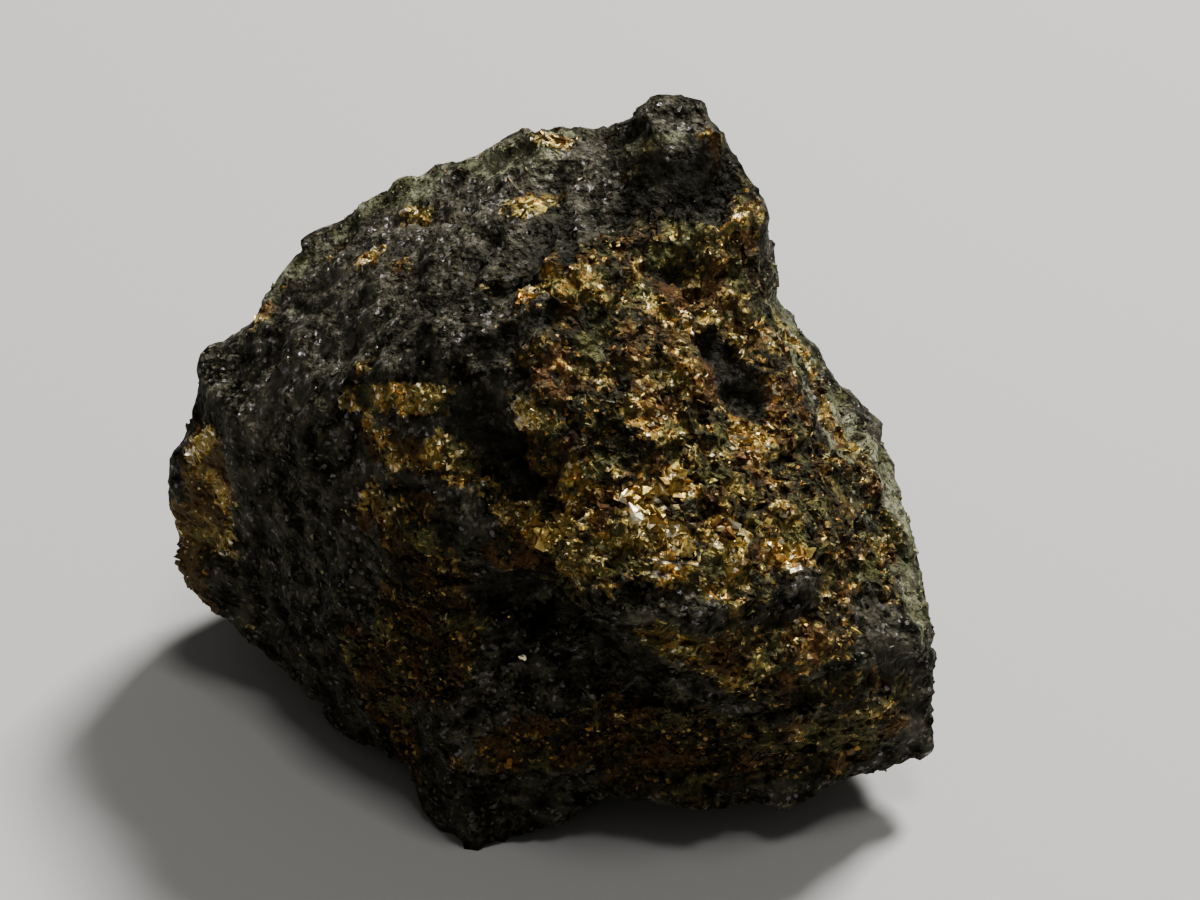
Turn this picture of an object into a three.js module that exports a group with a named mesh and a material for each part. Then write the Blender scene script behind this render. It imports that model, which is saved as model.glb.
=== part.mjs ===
// Hand specimen of massive magnetite with granular pyrite, broken on all sides.
// Millimetres, +Z up. The broken pyrite face looks towards -Y, the tapering tip points to -X.
// The stone is one body. It is star-shaped about CORE, so every direction from there meets its
// surface once: planes through the corners of its edges give the fracture faces, and folds, hollows,
// ledges and roughness are then added along the same directions.
import * as THREE from 'three';
import { ConvexHull } from 'three/addons/math/ConvexHull.js';
import { ImprovedNoise } from 'three/addons/math/ImprovedNoise.js';
import { mergeVertices } from 'three/addons/utils/BufferGeometryUtils.js';

// ---- driving dimensions, mm ------------------------------------------------------------
const SIZE = new THREE.Vector3( 82, 59, 66 ); // left to right, lip to back, foot to crown
const CORE = new THREE.Vector3( 1, -8, 20 ); // point inside the stone that sees its whole skin
const FINENESS = 20; // splits of each edge of the 20-sided start shape
const EVENING_ROUNDS = 30; // passes that even out the spacing of the skin's points
const EDGE_WANDER = 1.8; // how far the edges between fracture faces stray
const EDGE_WANDER_LENGTH = 11;
const SWELL = 1.0; // broad unevenness of the faces
const SWELL_LENGTH = 15;
const ROUGHNESS = 0.65; // height of the coarse grain
const ROUGHNESS_LENGTH = 5;
const CHIP_COUNT = 210; // small fracture chips over the whole skin
const CHIP_JITTER = 8; // how far a chip's middle strays from an even spread
const CHIP_TILT = 0.09; // slope of a chip against the face it lies on
const LEDGE_PITCH = 5.2; // distance between the ledges of the pyrite face
const LEDGE_DEPTH = 1.0;
const LEDGE_DIP = 0.16; // fall of the ledges towards +X
const SEED = 41;
const GOLDEN_ANGLE = Math.PI * ( 3 - Math.sqrt( 5 ) );
// Each use of the noise reads it at a place of its own.
const NOISE_PLACE = { wanderX: 1.7, wanderY: 4.1, wanderZ: 9.2, swell: 2.6, grain: 5.4, ledge: 7.3 };

// ---- edges of the stone --------------------------------------------------------------------
// A place on the stone is given in percent of its size: how far across from the left end, how deep
// from the front, and how high above the foot. Each edge is a smooth curve through a few places,
// with a corner at each of them and, where the edge has splits, at even steps between them.
const EDGES = {
	crownTop: { splits: 1, through: [ [ 57, 73, 94 ], [ 61, 64, 98 ], [ 71, 64, 98 ] ] },
	crownBack: { splits: 1, through: [ [ 69, 72, 100 ], [ 62, 73, 101 ] ] },
	crownFoot: { splits: 1, through: [ [ 59, 58, 89 ], [ 70, 58, 88 ], [ 76, 62, 87 ] ] },
	shelf: { splits: 1, through: [ [ 60, 52, 87 ], [ 72, 53, 84 ] ] },
	leftTip: { splits: 1, through: [ [ 6, 69, 57 ], [ 4, 66, 53 ], [ 5, 65, 46 ] ] },
	leftEnd: { splits: 1, through: [ [ 2, 60, 40 ], [ 0, 56, 31 ], [ 2, 51, 22 ], [ 6, 50, 17 ] ] },
	leftFoot: { splits: 2, through: [ [ 10, 46, 11 ], [ 22, 31, 6 ], [ 32, 15, 4 ] ] },
	brow: { splits: 1, through: [ [ 70, 45, 80 ], [ 60, 25, 75 ], [ 50, 20, 75 ] ] },
	lip: { splits: 1, through: [ [ 50, 8, 62 ], [ 56, 0, 55 ], [ 66, 0, 54 ], [ 80, 14, 54 ] ] },
	underLip: { splits: 1, through: [ [ 75, 0, 40 ], [ 85, 10, 40 ] ] },
	leftPyrite: { splits: 1, through: [ [ 35, 20, 65 ], [ 30, 25, 65 ], [ 35, 15, 55 ] ] },
	rightEdge: { splits: 2, through: [ [ 75, 50, 75 ], [ 85, 35, 55 ], [ 95, 20, 35 ] ] },
	rightFlank: { splits: 2, through: [ [ 79, 65, 85 ], [ 80, 66, 64 ], [ 92, 52, 49 ], [ 99, 30, 29 ] ] },
	nose: { splits: 2, through: [ [ 45, 8, 58 ], [ 36, 9, 30 ], [ 40, 1, 0 ] ] },
	lowerFace: { splits: 1, through: [ [ 50, 10, 45 ], [ 65, 5, 30 ], [ 80, 5, 25 ], [ 90, 10, 25 ] ] },
	lowerEdge: { splits: 2, through: [ [ 99, 15, 11 ], [ 82, 4, 12 ], [ 60, 5, 11 ], [ 50, 5, 5 ] ] },
	leftFlank: { splits: 1, through: [ [ 20, 35, 60 ], [ 15, 35, 30 ], [ 25, 20, 35 ] ] },
	undercut: { splits: 1, through: [ [ 65, 15, 5 ], [ 85, 25, 10 ], [ 90, 40, 10 ], [ 15, 60, 5 ] ] },
	backTop: { splits: 1, through: [ [ 65, 80, 95 ], [ 50, 90, 80 ], [ 35, 90, 70 ], [ 15, 85, 55 ] ] },
	backLeft: { splits: 1, through: [ [ 5, 75, 40 ], [ 10, 75, 15 ], [ 20, 80, 10 ] ] },
	backMiddle: { splits: 1, through: [ [ 35, 95, 40 ], [ 55, 100, 50 ], [ 70, 90, 65 ] ] },
	backRight: { splits: 1, through: [ [ 80, 80, 45 ], [ 90, 70, 30 ], [ 90, 60, 10 ] ] },
	backFoot: { splits: 1, through: [ [ 45, 95, 15 ], [ 60, 90, 5 ], [ 70, 95, 30 ], [ 80, 80, 10 ] ] },
};
// The roof lies between these two edges, both running from the crown to the left tip.
const RIM = { splits: 2, through: [ [ 50, 75, 93 ], [ 35, 80, 85 ], [ 21, 79, 74 ], [ 10, 71, 59 ] ] };
const RIDGE = { splits: 2, through: [ [ 55, 50, 90 ], [ 50, 30, 85 ], [ 30, 35, 75 ], [ 15, 45, 55 ] ] };
const ROOF_SHARE = 0.4; // place of the roof's middle between rim and ridge
const ROOF_SAG = 1; // mm
// The foot is cut level at z = 0 from a shallow oval bulge, mm.
const FOOT = { middle: [ 0, -1 ], reach: [ 22, 14 ], depth: 2, corners: 7 };

// Hollows and grooves as rounded troughs between two places; a negative depth is a bulge. Radius
// and depth are in mm.
const TROUGHS = [
	{ from: [ 45, 20, 70 ], to: [ 50, 15, 65 ], radius: 3.5, depth: 4 }, // deep pit left of the pyrite
	{ from: [ 70, 45, 75 ], to: [ 75, 35, 65 ], radius: 4.5, depth: 3 }, // pit high on the pyrite face
	{ from: [ 45, 10, 50 ], to: [ 55, 5, 45 ], radius: 6, depth: 4.5 }, // shaded hollow under the ledge
	{ from: [ 35, 50, 75 ], to: [ 25, 45, 70 ], radius: 2.6, depth: 1.8 }, // groove across the roof
	{ from: [ 45, 45, 85 ], to: [ 55, 55, 90 ], radius: 2.4, depth: 1.5 }, // fold below the crown
	{ from: [ 5, 60, 45 ], to: [ 10, 55, 50 ], radius: 2.6, depth: 1.8 }, // nook under the left tip
	{ from: [ 60, 5, 5 ], to: [ 60, 20, 5 ], radius: 2.5, depth: 1.6 }, // small arch under the lower edge
	{ from: [ 80, 60, 70 ], to: [ 75, 50, 70 ], radius: 3, depth: 1.6 }, // waist above the right shoulder
	{ from: [ 75, 65, 95 ], to: [ 75, 60, 90 ], radius: 2.4, depth: -1.5 }, // crystals beside the crown
	{ from: [ 62, 65, 98 ], to: [ 70, 65, 98 ], radius: 2.5, depth: -1 }, // front of the crown's cap
	{ from: [ 61, 58, 88 ], to: [ 73, 59, 87 ], radius: 2.5, depth: 1.2 }, // step at the crown's foot
];

// Stretch of the surface that is granular pyrite, stepped by ledges.
const PYRITE_FACE = { from: [ 65, 45, 85 ], to: [ 70, 5, 55 ], radius: 15 };

const perlin = new ImprovedNoise();

// Point in mm of a place given in percent of the stone's size.
function spot( [ across, deep, high ] ) {

	const percent = new THREE.Vector3( across - 50, deep - 50, high );
	return percent.multiply( SIZE ).divideScalar( 100 );

}

// Smooth noise at a point, between about -1 and 1, with features of the given length.
function noise( point, length, use ) {

	const shift = NOISE_PLACE[ use ];
	return perlin.noise( point.x / length + shift, point.y / length - shift, point.z / length + 2 * shift );

}

// Corners along an edge.
function cornersOf( { splits, through } ) {

	const curve = new THREE.CatmullRomCurve3( through.map( spot ) );
	return curve.getPoints( splits * ( through.length - 1 ) );

}

// All corners of the stone: its edges, the roof between rim and ridge, and the oval of its foot.
function stoneCorners() {

	const rim = cornersOf( RIM );
	const ridge = cornersOf( RIDGE );
	const roof = rim.map( ( corner, i ) => corner.clone().lerp( ridge[ i ], ROOF_SHARE ) );
	roof.forEach( ( corner ) => corner.setZ( corner.z - ROOF_SAG ) );
	const [ footX, footY ] = FOOT.middle;
	const [ reachX, reachY ] = FOOT.reach;
	const foot = [ new THREE.Vector3( footX, footY, - FOOT.depth ) ];
	for ( let i = 0; i < FOOT.corners; i ++ ) {

		const angle = 2 * Math.PI * i / FOOT.corners;
		const x = footX + reachX * Math.cos( angle );
		foot.push( new THREE.Vector3( x, footY + reachY * Math.sin( angle ), - FOOT.depth ) );

	}

	return [ ...Object.values( EDGES ).flatMap( cornersOf ), ...rim, ...ridge, ...roof, ...foot ];

}

// Triangles between neighbouring corners, found on the sphere of directions around CORE.
function fractureFaces() {

	const cornerOf = new Map();
	for ( const corner of stoneCorners() ) {

		const arm = corner.sub( CORE );
		cornerOf.set( arm.clone().normalize(), arm );

	}

	const hull = new ConvexHull().setFromPoints( [ ...cornerOf.keys() ] );
	return hull.faces.map( ( face ) => {

		const edges = [ face.edge, face.edge.next, face.edge.next.next ];
		const [ a, b, c ] = edges.map( ( edge ) => cornerOf.get( edge.head().point ) );
		const plane = new THREE.Plane().setFromCoplanarPoints( a, b, c );
		const sides = [ a.clone().cross( b ), b.clone().cross( c ), c.clone().cross( a ) ];
		sides.forEach( ( side ) => side.normalize() );
		return { sides, plane };

	} );

}

// Distance from CORE to the fracture face that the direction passes through.
function reach( faces, direction ) {

	let best = 0;
	let bestInside = - Infinity;
	for ( const { sides, plane } of faces ) {

		const inside = Math.min( ...sides.map( ( side ) => direction.dot( side ) ) );
		if ( inside > bestInside ) {

			bestInside = inside;
			best = - plane.constant / plane.normal.dot( direction );

		}

	}

	return best;

}

// How strongly a rounded capsule between two points covers a place: 1 on its axis, 0 far away.
function cover( { from, to, radius }, point ) {

	const axis = new THREE.Line3( spot( from ), spot( to ) );
	const nearest = axis.closestPointToPoint( point, true, new THREE.Vector3() );
	return Math.exp( - nearest.distanceToSquared( point ) / radius ** 2 );

}

// Small fracture chips spread evenly over the directions, each a tilted patch of the skin.
function scatterChips( faces ) {

	THREE.MathUtils.seededRandom( SEED );
	const random = () => THREE.MathUtils.seededRandom() - 0.5;
	const chips = [];
	for ( let i = 0; i < CHIP_COUNT; i ++ ) {

		const height = 1 - 2 * ( i + 0.5 ) / CHIP_COUNT;
		const width = Math.sqrt( 1 - height ** 2 );
		const direction = new THREE.Vector3().setFromCylindricalCoords( width, i * GOLDEN_ANGLE, height );
		const jitter = new THREE.Vector3( random(), random(), random() ).multiplyScalar( CHIP_JITTER );
		const center = direction.multiplyScalar( reach( faces, direction ) ).add( CORE ).add( jitter );
		const tilt = new THREE.Vector3( random(), random(), random() ).multiplyScalar( 2 * CHIP_TILT );
		chips.push( { center, tilt } );

	}

	return chips;

}

// Rise of the skin at a point from the chip that covers it.
function chipRise( chips, point ) {

	let nearest = chips[ 0 ];
	for ( const chip of chips ) {

		if ( chip.center.distanceToSquared( point ) < nearest.center.distanceToSquared( point ) ) nearest = chip;

	}

	return nearest.tilt.dot( point.clone().sub( nearest.center ) );

}

// Outward step of the ledges on the pyrite face: each rises to its lip and then drops back.
function ledgeRise( point ) {

	const level = ( point.z + LEDGE_DIP * point.x ) / LEDGE_PITCH + noise( point, SWELL_LENGTH, 'ledge' );
	return LEDGE_DEPTH * ( level - Math.floor( level ) - 0.5 ) * cover( PYRITE_FACE, point );

}

// A ball of triangles whose directions are evened out, so that they come out alike on the stone.
function evenBall( faces ) {

	const geometry = new THREE.IcosahedronGeometry( 1, FINENESS );
	geometry.deleteAttribute( 'normal' );
	geometry.deleteAttribute( 'uv' );
	const ball = mergeVertices( geometry );
	const position = ball.getAttribute( 'position' );
	const corners = ball.getIndex().array;
	const point = new THREE.Vector3();
	for ( let round = 0; round < EVENING_ROUNDS; round ++ ) {

		const onSkin = [];
		const sums = [];
		for ( let i = 0; i < position.count; i ++ ) {

			point.fromBufferAttribute( position, i ).normalize();
			onSkin.push( point.clone().multiplyScalar( reach( faces, point ) ) );
			sums.push( new THREE.Vector3() );

		}

		for ( let i = 0; i < corners.length; i += 3 ) {

			const [ a, b, c ] = corners.subarray( i, i + 3 );
			sums[ a ].add( onSkin[ b ] ).add( onSkin[ c ] );
			sums[ b ].add( onSkin[ c ] ).add( onSkin[ a ] );
			sums[ c ].add( onSkin[ a ] ).add( onSkin[ b ] );

		}

		sums.forEach( ( sum, i ) => position.setXYZ( i, ...sum.normalize() ) );

	}

	return ball;

}

// The whole stone as one closed geometry.
function stoneGeometry() {

	const faces = fractureFaces();
	const chips = scatterChips( faces );
	const skin = evenBall( faces );
	const position = skin.getAttribute( 'position' );
	for ( let i = 0; i < position.count; i ++ ) {

		const direction = new THREE.Vector3().fromBufferAttribute( position, i ).normalize();
		const onBall = direction.clone().multiplyScalar( CORE.z );
		const wander = new THREE.Vector3(
			noise( onBall, EDGE_WANDER_LENGTH, 'wanderX' ),
			noise( onBall, EDGE_WANDER_LENGTH, 'wanderY' ),
			noise( onBall, EDGE_WANDER_LENGTH, 'wanderZ' ),
		).multiplyScalar( EDGE_WANDER );
		const distance = reach( faces, onBall.add( wander ).normalize() );
		const point = direction.clone().multiplyScalar( distance ).add( CORE );
		let rise = chipRise( chips, point ) + ledgeRise( point );
		rise += SWELL * noise( point, SWELL_LENGTH, 'swell' );
		rise += ROUGHNESS * noise( point, ROUGHNESS_LENGTH, 'grain' );
		for ( const trough of TROUGHS ) rise -= trough.depth * cover( trough, point );
		point.addScaledVector( direction, rise );
		if ( point.z < 0 ) point.addScaledVector( direction, - point.z / direction.z );
		position.setXYZ( i, point.x, point.y, point.z );

	}

	skin.computeBoundingBox();
	const middle = skin.boundingBox.getCenter( new THREE.Vector3() );
	return skin.translate( - middle.x, - middle.y, 0 );

}

const stone = new THREE.Mesh(
	stoneGeometry(),
	new THREE.MeshStandardMaterial( { color: 0x2e2c28, roughness: 0.55, metalness: 0.2 } ),
);
stone.name = 'stone';

const specimen = new THREE.Group();
specimen.add( stone );

export default specimen;
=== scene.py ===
"""Looks of a hand specimen of magnetite with granular pyrite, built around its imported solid.

Lengths are millimetres inside the script and metres in Blender. The broken pyrite face looks
towards -Y, the tapering tip of the stone points to -X.
"""

import math

import bmesh
import bpy
import numpy as np
from bpy.props import FloatProperty, FloatVectorProperty, IntProperty, PointerProperty
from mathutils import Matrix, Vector, kdtree, noise
from mathutils.bvhtree import BVHTree


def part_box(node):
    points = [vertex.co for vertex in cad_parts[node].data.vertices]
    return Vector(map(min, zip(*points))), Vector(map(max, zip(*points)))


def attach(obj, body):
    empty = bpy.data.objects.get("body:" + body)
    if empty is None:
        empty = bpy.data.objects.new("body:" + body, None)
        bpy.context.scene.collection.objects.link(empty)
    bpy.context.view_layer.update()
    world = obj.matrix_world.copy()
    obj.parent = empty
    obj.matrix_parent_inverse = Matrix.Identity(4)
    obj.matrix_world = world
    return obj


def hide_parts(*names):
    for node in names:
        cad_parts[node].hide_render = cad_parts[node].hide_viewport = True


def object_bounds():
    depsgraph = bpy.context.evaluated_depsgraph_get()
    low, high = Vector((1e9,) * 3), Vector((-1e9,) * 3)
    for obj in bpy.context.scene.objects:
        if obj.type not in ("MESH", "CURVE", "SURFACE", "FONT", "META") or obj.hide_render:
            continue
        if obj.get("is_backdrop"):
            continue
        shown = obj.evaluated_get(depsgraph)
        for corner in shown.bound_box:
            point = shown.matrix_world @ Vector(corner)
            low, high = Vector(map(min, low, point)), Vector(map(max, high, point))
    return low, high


bl_info = {
    "name": "Pyrite with magnetite",
    "version": (1, 0, 0),
    "blender": (4, 5, 0),
    "location": "3D View > Sidebar > Stone",
    "description": "Builds the fine surface, grains and studio of a pyrite and magnetite specimen",
    "category": "Add Mesh",
}

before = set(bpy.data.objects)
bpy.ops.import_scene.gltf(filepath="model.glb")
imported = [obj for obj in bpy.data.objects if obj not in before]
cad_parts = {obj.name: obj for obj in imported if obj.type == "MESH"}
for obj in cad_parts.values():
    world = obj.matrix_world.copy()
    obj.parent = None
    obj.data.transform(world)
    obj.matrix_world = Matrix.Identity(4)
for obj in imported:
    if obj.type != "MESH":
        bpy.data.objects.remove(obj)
LOADED_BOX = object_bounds()

NODE = "stone"
MM = 0.001
LOW, HIGH = (np.array(corner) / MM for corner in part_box(NODE))

# ---- places on the stone ----
# A place is given in percent of the stone's box: how far across from the left end, how deep from
# the front, and how high above the foot. Each broken face of the stone lies between a top and a
# bottom edge. The tables of strokes name a face and give its strokes in percent of it: how far
# across and down each starts, how far across and down it ends, and its radius in mm.
FACES = {
    "roof": (
        [(10, 71, 59), (21, 79, 74), (35, 80, 85), (50, 75, 93)],
        [(15, 45, 55), (30, 35, 75), (50, 30, 85), (55, 50, 90)],
    ),
    "crown": ([(59, 65, 98), (72, 65, 98)], [(60, 58, 89), (74, 60, 87)]),
    "front": ([(57, 52, 88), (75, 56, 85)], [(48, 8, 60), (94, 18, 38)]),
    "left": ([(15, 45, 55), (30, 30, 70), (45, 22, 68)], [(20, 33, 8), (30, 17, 5), (40, 2, 3)]),
    "lower": (
        [(45, 8, 57), (56, 2, 52), (80, 6, 46), (94, 17, 36)],
        [(40, 1, 2), (60, 5, 10), (82, 4, 11), (99, 15, 10)],
    ),
    "right": ([(79, 65, 85), (80, 66, 64), (92, 52, 49), (99, 32, 30)],
              [(76, 54, 84), (76, 50, 73), (86, 34, 54), (96, 18, 34)]),
    "left end": ([(3, 64, 48), (9, 52, 46)], [(4, 50, 16), (12, 44, 14)]),
    "back": ([(15, 88, 58), (50, 92, 84), (74, 82, 84)], [(20, 85, 8), (55, 95, 5), (85, 75, 8)]),
}

# Strokes of pyrite. The last number says in percent how fresh and bright it is.
PYRITE_STROKES = [
    # the broken face, from its top to below its ledge
    ("front", (10, 6, 60, 6, 2.8, 24)),
    ("crown", (15, 110, 70, 100, 1.6, 14)),
    ("front", (12, 6, 14, 7, 0.8, 52), (60, 5, 95, 2, 2.8, 36), (30, 2, 33, 3, 0.8, 52),
     (50, -2, 52, -2, 0.7, 50), (-10, 18, 90, 18, 4.6, 48), (-10, 38, 50, 40, 4.8, 43),
     (92, 30, 95, 60, 3, 38), (5, 60, 74, 58, 5.2, 52), (0, 82, 66, 80, 5.6, 60),
     (88, 66, 78, 90, 4.6, 24), (84, 70, 86, 71, 1.2, 60), (76, 98, 80, 99, 1.1, 55),
     (-2, 98, 50, 100, 3.4, 62)),
    ("lower", (45, 6, 78, 6, 3, 34), (52, 18, 66, 18, 2.6, 46), (0, 0, 15, 8, 3, 26)),
    # broad bright crystals
    ("front", (26, 80, 30, 78, 1.5, 100), (34, 70, 35, 74, 1.1, 95), (36, 90, 39, 92, 1.5, 100),
     (62, 86, 68, 90, 1.7, 95), (58, 58, 66, 56, 1.2, 88), (50, 97, 52, 99, 1, 85),
     (-6, 54, -4, 57, 1.3, 100), (4, 94, 10, 92, 1.5, 95), (10, 102, 16, 104, 1.1, 90),
     (22, 10, 25, 12, 1, 90), (60, 23, 64, 22, 1, 85), (-18, 26, -14, 26, 1, 85),
     (88, 38, 88, 42, 0.9, 90)),
    # second patch, left of the face
    ("left", (35, -6, 58, -6, 1.3, 52), (62, -6, 86, -10, 1.5, 62), (52, 6, 85, 6, 2.3, 58),
     (58, 20, 85, 22, 2.4, 42), (50, 25, 52, 28, 1.2, 50), (62, 40, 66, 42, 1.4, 55)),
    # dull brown pyrite
    ("left", (75, 20, 72, 60, 4, 22), (90, 35, 85, 55, 3, 20), (50, 60, 60, 90, 3.2, 14)),
    ("lower", (10, 70, 30, 66, 3.6, 14), (35, 62, 90, 60, 4, 13), (35, 85, 80, 82, 3, 12),
     (60, 35, 85, 32, 2.2, 12)),
    ("crown", (100, 20, 110, 90, 2.2, 44)),
    ("right", (10, 85, 90, 85, 2, 52), (35, 45, 85, 50, 1.6, 52)),
    ("back", (35, 40, 46, 55, 4.6, 24), (46, 34, 60, 40, 2.8, 34), (20, 62, 24, 66, 1.6, 50)),
    # flecks in the magnetite
    ("roof", (54, 18, 58, 20, 1.2, 74), (82, 42, 86, 43, 1.5, 71), (96, 45, 98, 46, 0.9, 45),
     (40, 31, 42, 31, 1.3, 84), (47, 45, 48, 45, 1, 68), (32, 13, 34, 12, 0.9, 40),
     (6, 13, 9, 11, 1.2, 72), (62, 70, 63, 70, 0.7, 50), (30, 94, 32, 93, 0.9, 45),
     (98, 4, 105, 8, 0.9, 72)),
    ("crown", (-6, 40, -5, 40, 0.9, 78), (22, 2, 24, 2, 0.8, 78), (82, 0, 85, 2, 0.8, 66),
     (99, 32, 103, 42, 1.1, 84)),
    ("lower", (65, 62, 68, 64, 1.1, 62), (82, 50, 88, 50, 1, 56), (33, 56, 34, 56, 0.9, 50)),
    ("left", (92, 78, 93, 78, 0.8, 60)),
    ("left end", (80, 5, 75, 42, 3.2, 62), (30, 55, 20, 85, 2.2, 30)),
]
OLIVE_STROKES = [
    ("front", (-15, 5, 5, 12, 3), (5, 35, 25, 35, 3), (75, 62, 90, 66, 2.6),
     (96, 15, 100, 80, 2.6)),
    ("crown", (105, 15, 110, 80, 2.2)),
    ("right", (10, 85, 90, 70, 3)),
    ("lower", (0, 0, 15, 8, 3)),
]
# Weathered crust of the left end, grey-green rind, and paler magnetite, partly wear and partly a
# painted highlight on the lit roof, its rim and the crown's top edge.
CRUST_STROKES = [
    ("left end", (80, 5, 75, 42, 3.6), (15, 60, 20, 95, 3)),
]
RIND_STROKES = [
    ("roof", (8, 3, 50, 0, 1.8), (50, 0, 100, 3, 2.6)),
    ("crown", (-10, -2, 60, -5, 1.1)),
    ("right", (35, 40, 95, 35, 6)),
    ("back", (70, 15, 90, 70, 8)),
]
PALE_STROKES = [
    ("roof", (30, 30, 95, 35, 8), (8, 3, 100, 0, 3.4), (22, 72, 5, 86, 3.4)),
    ("roof to left end", (5, 88, 100, 15, 2.4)),
    ("roof", (97, 25, 96, 55, 2.2)),
    ("crown", (-5, 2, 70, -6, 2.2)),
    ("right", (40, 45, 90, 40, 3)),
    ("lower", (94, 5, 100, 80, 1.8)),
    ("back", (30, 10, 80, 20, 12)),
]
# Shaded gaps, sunk a little and laid with painted shade: under the crown, the two pits, under the
# roof's edge, the hollow below the ledge.
SHADED_GAP_STROKES = [
    ("crown", (5, 45, 90, 50, 3), (0, 95, 75, 95, 2.2)),
    ("front", (60, 32, 75, 46, 2.6)),
    ("left", (90, -8, 110, 4, 2.9)),
    ("roof", (55, 104, 75, 102, 1.6), (98, 65, 88, 95, 1.4)),
    ("left end", (0, -8, 50, -6, 2.2)),
    ("lower", (5, 18, 38, 28, 3.8)),
]

# Where ledges step the broken face, and where single grooves are cut.
LEDGE_STROKES = [("front", (50, 15, 50, 90, 15))]
GROOVE_STROKES = [
    ("crown", (5, 60, 85, 60, 1.6)),
    ("roof", (97, 42, 78, 72, 1.4), (55, 68, 34, 92, 1.4), (70, 50, 60, 66, 1)),
    ("lower", (40, 6, 98, 30, 1.2)),
    ("front", (30, 12, 80, 10, 1)),
]
# Furrows of the roof and of the lower face: strokes, the way that the furrows run, their depth,
# length and width in mm, and the number of their noise.
FURROWS = [
    ([("roof", (15, 45, 90, 40, 10))], (0.8, 0.25, 0.5), 0.6, 9, 1.7, 12),
    ([("lower", (45, 20, 98, 22, 7))], (0.95, 0.15, -0.28), 0.8, 9, 1.3, 13),
]

# Kinds of surface: strokes, the nearness to them at which a kind starts and is full, and how much
# its edge wanders and its strokes stray.
SURFACES = {
    "pyrite": (PYRITE_STROKES, 0.18, 0.54, 0.8, 0.7),
    "shaded_gap": (SHADED_GAP_STROKES, 0.35, 0.7, 1, 0),
    "olive": (OLIVE_STROKES, 0.2, 0.7, 1, 0),
    "crust": (CRUST_STROKES, 0.32, 0.55, 1, 0),
    "rind": (RIND_STROKES, 0.25, 0.85, 1.2, 1),
    "pale": (PALE_STROKES, 0.1, 0.9, 1, 1),
}

# ---- sizes of the surface and of the grains ----
SPLITS, SMOOTH_ROUNDS = 2, 2  # each split cuts every triangle in four
JOSTLE = 0.13  # how far points stray along the skin, mm
POINT_SPACING = 0.49  # mm
MOST_RISE = 1.1  # the relief stays within this of the smoothed solid, mm
FOOT_LEVEL, GRAIN_LEVEL = 0.05, 1.2  # flat below the first, no grains below the second, mm
RAGGED_RADIUS = 3  # narrower strokes have neater edges, mm
STRAIGHT_RADIUS = 1  # narrower strokes don't stray, mm
SHORTEST, FARTHEST = 1e-9, 0.01  # least length and nearness of a stroke
PART_SEED = {"skin": 5, "body": 11, "gold": 23, "dark": 37, "rind": 53}

# Smooth noises: height, length of their features in mm, and a number that tells them apart.
RIPPLES = {
    "wander": (0.34, 5, 1),
    "fine wander": (0.24, 1.8, 2),
    "relief": (1, 2.2, 3),
    "fine relief": (0.6, 0.9, 4),
    "magnetite_grains": (0.2, 5, 7),
    "weathered_crumbs": (0.25, 4, 8),
    "clump": (0.9, 3.2, 9),
    "fine clump": (0.5, 1.2, 10),
    "ledge": (0.9, 7, 11),
    "groove": (0.6, 2.5, 14),
    "freshness": (1, 4.5, 15),
    "cluster": (1, 3.4, 16),
    "stray": (1.6, 6, 17),
    "fine stray": (1, 2, 18),
}
NOISE_STEP = np.array([7.3, 3.1, 5.7])  # how far apart two noises lie

# How fresh the pyrite is, from 0 to 1.
EVEN_FROM = (0.65, 0.95)  # between these it turns bright all over
CLUMP_FROM = (0.1, 0.75)  # between these a flake turns from dull to bright
FRESH_SWING, DULLEST = 0.55, 0.12
OLIVE_DULLS, BARE_DULLS = 0.15, 0.6
BARE_HIDES, PYRITE_HIDES = 0.85, 0.8  # gaps hide the pyrite, and pyrite the rind

# Broken flakes: width in mm, tilt, step in mm, and how far they are drawn out along each axis.
BROAD_CHIPS = (7, 0.13, 0.36, (1.2, 1, 1))
MIDDLE_CHIPS = (3, 0.22, 0.22, (1.3, 1, 0.9))
SMALL_CHIPS = (0.32, 0.12, (1.5, 1, 0.8))  # their width is a setting
MIDDLE_LEAST, SMALL_LEAST = 0.6, 0.15  # strength of the flakes off the pyrite
PYRITE_SMOOTHS = 0.4  # how much of the fine unevenness the pyrite lacks
LEDGE_SLOPE, LEDGE_STEP = 0.18, 0.6  # how ledges fall to the right, and their step in mm
GROOVE_DEPTH, BARE_DEPTH = 1.1, 0.6  # mm
SHADE_DEPTHS = (0.05, 0.75)  # depths between which painted shade fills a hollow, mm
BROAD_LEFT_OUT = 0.5  # share of the broad flakes that doesn't count as depth for the painted shade
GROOVE_SHADE, PYRITE_CLEARS = 0.8, 0.45  # strength of the painted shade in grooves, and how much less painted shade the hollows of the pyrite get
SMOOTH_BELOW = 0.3  # share of pyrite from which the skin is faceted

# Grains: flatness, share of their height that is sunk, and how far they lean.
GRAINS = {
    "pyrite_grains": ((0.55, 0.85), 0.36, 0.3),
    "magnetite_grains": ((0.5, 0.9), 0.44, 0.22),
    "weathered_crumbs": ((0.5, 0.9), 0.44, 0.22),
}
# Dark grains: material, how much the painted shade of the hollows darkens them, metallic,
# roughness.
SHADES = {
    "magnetite_grains": ("magnetite grain", 0.8, 0.3, 0.42),
    "weathered_crumbs": ("weathered crumb", 0, 0, 0.7),
}
# How rare high values are among random ones.
RARITY = {
    "size": 3, "bright": 5.0, "polish": 1.3, "magnetite_grains": 2.2, "weathered_crumbs": 1.8}
SHAPE_KINDS, SHAPE_CORNERS = 28, 10
ROUNDNESS = 0.45  # corners nearer the middle than this stay inside the grain's full size
GRAIN_LENGTH, GRAIN_WIDTH = (0.9, 1.4), (0.7, 1.0)
GRAIN_TURN = 0.35  # how much grains turn about their outward axis
MOST_GRAINS = 12000
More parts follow.
